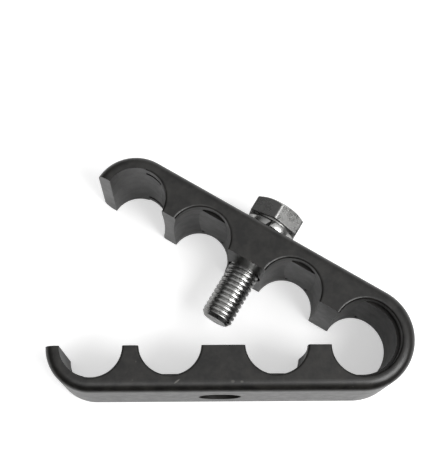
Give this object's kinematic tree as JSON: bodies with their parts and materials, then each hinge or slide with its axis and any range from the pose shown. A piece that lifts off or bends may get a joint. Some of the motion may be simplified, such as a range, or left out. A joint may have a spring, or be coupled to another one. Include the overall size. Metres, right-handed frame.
{
  "type": "hydraulic tube clamp",
  "caption": "Moulded tube clamp, hinged open: half-round seats in both jaws, joined by a living hinge at one end, with a hex bolt and spring washer through the middle.",
  "frame": {"origin": "middle of the bolt hole's mouth in the lower jaw's mating face, on the bolt axis of the closed clamp and at mid depth", "axes": "+Z along the tubes, up from the flat side that the open clamp lies on; +X along the lower jaw towards the living hinge; +Y out of the lower jaw's mating face, towards the bolt's head when closed"},
  "size_m": [0.1079, 0.0716, 0.03],
  "materials": {
    "jaw_plastic": "semi-matt moulded polypropylene",
    "zinc_steel": "bright zinc plating"
  },
  "bodies": {
    "lower_jaw": {"lower_jaw": "jaw_plastic", "hinge_wall": "jaw_plastic"},
    "upper_jaw": {"upper_jaw": "jaw_plastic"},
    "washer": {"spring_washer": "zinc_steel"},
    "bolt": {"hex_bolt": "zinc_steel"}
  },
  "joints": [
    {"name": "jaw_hinge", "type": "hinge", "parent": "lower_jaw", "child": "upper_jaw", "pos_m": [0.049, 0, 0], "axis": [0, 0, 1], "range_deg": [-15, 31], "stiffness_Nm_per_rad": 1.5, "deforming": ["hinge_wall"]},
    {"name": "bolt_slide", "type": "slide", "parent": "upper_jaw", "child": "washer", "axis": [0.515, 0.8572, 0], "range_m": [-0.001, 0.03]},
    {"name": "bolt_spin", "type": "hinge", "parent": "washer", "child": "bolt", "pos_m": [0.007, 0.02524, 0], "axis": [0.515, 0.8572, 0], "continuous": true}
  ]
}
